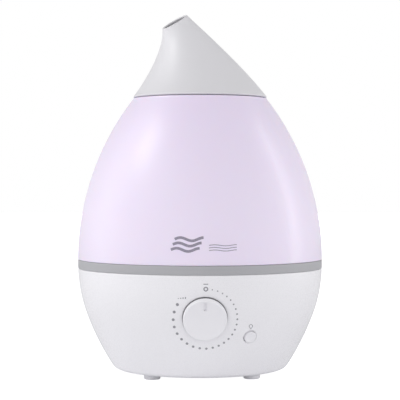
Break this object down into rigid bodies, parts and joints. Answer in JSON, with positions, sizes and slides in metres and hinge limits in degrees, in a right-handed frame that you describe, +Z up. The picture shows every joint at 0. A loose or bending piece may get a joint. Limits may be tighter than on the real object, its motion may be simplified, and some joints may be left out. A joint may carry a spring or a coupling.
{
  "type": "cool mist humidifier",
  "caption": "Drop shaped ultrasonic humidifier: round base with a dial and a button, lift-off domed tank, mist tube and a bent nozzle that turns.",
  "frame": {"origin": "centre line at floor level, under the feet", "axes": "+Z up along the centre line, -Y towards the control dial, +X to the right seen from the front"},
  "size_m": [0.216, 0.2193, 0.3151],
  "materials": {
    "base_white": "polished mould finish",
    "band_grey": "satin",
    "tank_lavender": "translucent, polished",
    "nozzle_white": "polished mould finish",
    "control_white": "satin gloss",
    "inner_plastic": "fine matt",
    "foot_rubber": "matt",
    "seal_rubber": "matt",
    "dark_plastic": "fine matt",
    "filter_foam": "open cell foam",
    "screw_steel": "zinc plated",
    "clamp_metal": "mill finish",
    "disc_brass": "plain",
    "board_green": "solder mask",
    "part_blue": "sleeve",
    "coil_copper": "enamelled winding",
    "led_clear": "clear",
    "wire_black": "extruded jacket",
    "wire_colour": "extruded jacket",
    "float_foam": "foamed"
  },
  "bodies": {
    "base": {"base_shell": "base_white", "trim_ring": "band_grey", "deck_rim": "inner_plastic", "basin_floor": "inner_plastic", "basin_posts": "inner_plastic", "air_chimney": "inner_plastic", "deck_gasket": "seal_rubber", "bottom_cover": "inner_plastic", "foot_1": "foot_rubber", "foot_2": "foot_rubber", "foot_3": "foot_rubber", "foot_4": "foot_rubber", "cover_screws": "screw_steel", "dust_filter": "filter_foam", "fan_housing": "dark_plastic", "fan_screws": "screw_steel", "air_duct": "inner_plastic", "transducer_disc": "disc_brass", "transducer_seal": "seal_rubber", "transducer_clamp": "clamp_metal", "transducer_screws": "screw_steel", "driver_board": "board_green", "board_screws": "screw_steel", "heat_sink": "clamp_metal", "capacitors": "part_blue", "inductor": "coil_copper", "control_board": "board_green", "potentiometer": "clamp_metal", "pot_nut": "screw_steel", "light_board": "board_green", "tact_switch": "dark_plastic", "light_lens": "led_clear", "night_led": "led_clear", "power_jack": "dark_plastic", "jack_nut": "screw_steel", "reed_switch": "part_blue", "float_clip": "inner_plastic", "wire_power": "wire_black", "wire_transducer": "wire_colour", "wire_dial": "wire_colour"},
    "fan_rotor": {"fan_rotor": "dark_plastic"},
    "float": {"float_ring": "float_foam", "float_magnet": "clamp_metal"},
    "knob": {"knob": "control_white", "pot_shaft": "screw_steel"},
    "button": {"light_button": "control_white", "switch_plunger": "inner_plastic"},
    "tank": {"tank_shell": "tank_lavender", "tank_floor": "tank_lavender", "mist_tube": "tank_lavender", "tube_seal_low": "seal_rubber", "tube_seal_top": "seal_rubber", "tank_handle": "tank_lavender"},
    "valve": {"valve_plunger": "inner_plastic", "valve_washer": "seal_rubber", "valve_spring": "screw_steel"},
    "cap_gasket": {"cap_seal": "seal_rubber"},
    "cap": {"filler_cap": "inner_plastic"},
    "collar": {"nozzle_collar": "inner_plastic"},
    "nozzle": {"mist_nozzle": "nozzle_white"}
  },
  "joints": [
    {"name": "fan_spin", "type": "hinge", "parent": "base", "child": "fan_rotor", "pos_m": [0, 0.03, 0.018], "axis": [0, 0, 1], "continuous": true},
    {"name": "float_rise", "type": "slide", "parent": "base", "child": "float", "axis": [0, 0, 1], "range_m": [0, 0.009]},
    {"name": "knob_turn", "type": "hinge", "parent": "base", "child": "knob", "pos_m": [0, -0.10189, 0.0574], "axis": [0, 0.9511, 0.3088], "range_deg": [0, 302]},
    {"name": "button_press", "type": "slide", "parent": "base", "child": "button", "axis": [-0.3655, 0.8407, 0.3995], "range_m": [0, 0.0012], "stiffness_N_per_m": 300},
    {"name": "tank_lift", "type": "slide", "parent": "base", "child": "tank", "axis": [0, 0, 1], "range_m": [0, 0.1]},
    {"name": "valve_close", "type": "slide", "parent": "tank", "child": "valve", "axis": [0, 0, -1], "range_m": [0, 0.0047], "deforming": ["valve_spring"]},
    {"name": "cap_drop", "type": "slide", "parent": "tank", "child": "cap_gasket", "axis": [0, 0, -1], "range_m": [0, 0.0045]},
    {"name": "cap_turn", "type": "hinge", "parent": "cap_gasket", "child": "cap", "pos_m": [0.044, 0, 0.086], "axis": [0, 0, -1], "range_deg": [0, 360]},
    {"name": "nozzle_lift", "type": "slide", "parent": "tank", "child": "collar", "axis": [0, 0, 1], "range_m": [0, 0.05]},
    {"name": "nozzle_turn", "type": "hinge", "parent": "collar", "child": "nozzle", "pos_m": [0, 0, 0.243], "axis": [0, 0, 1], "continuous": true}
  ],
  "couplings": [
    {"joint": "valve_close", "follows": "tank_lift", "ratio": 0.047},
    {"joint": "cap_drop", "follows": "cap_turn", "m_per_rad": 0.0007162}
  ]
}
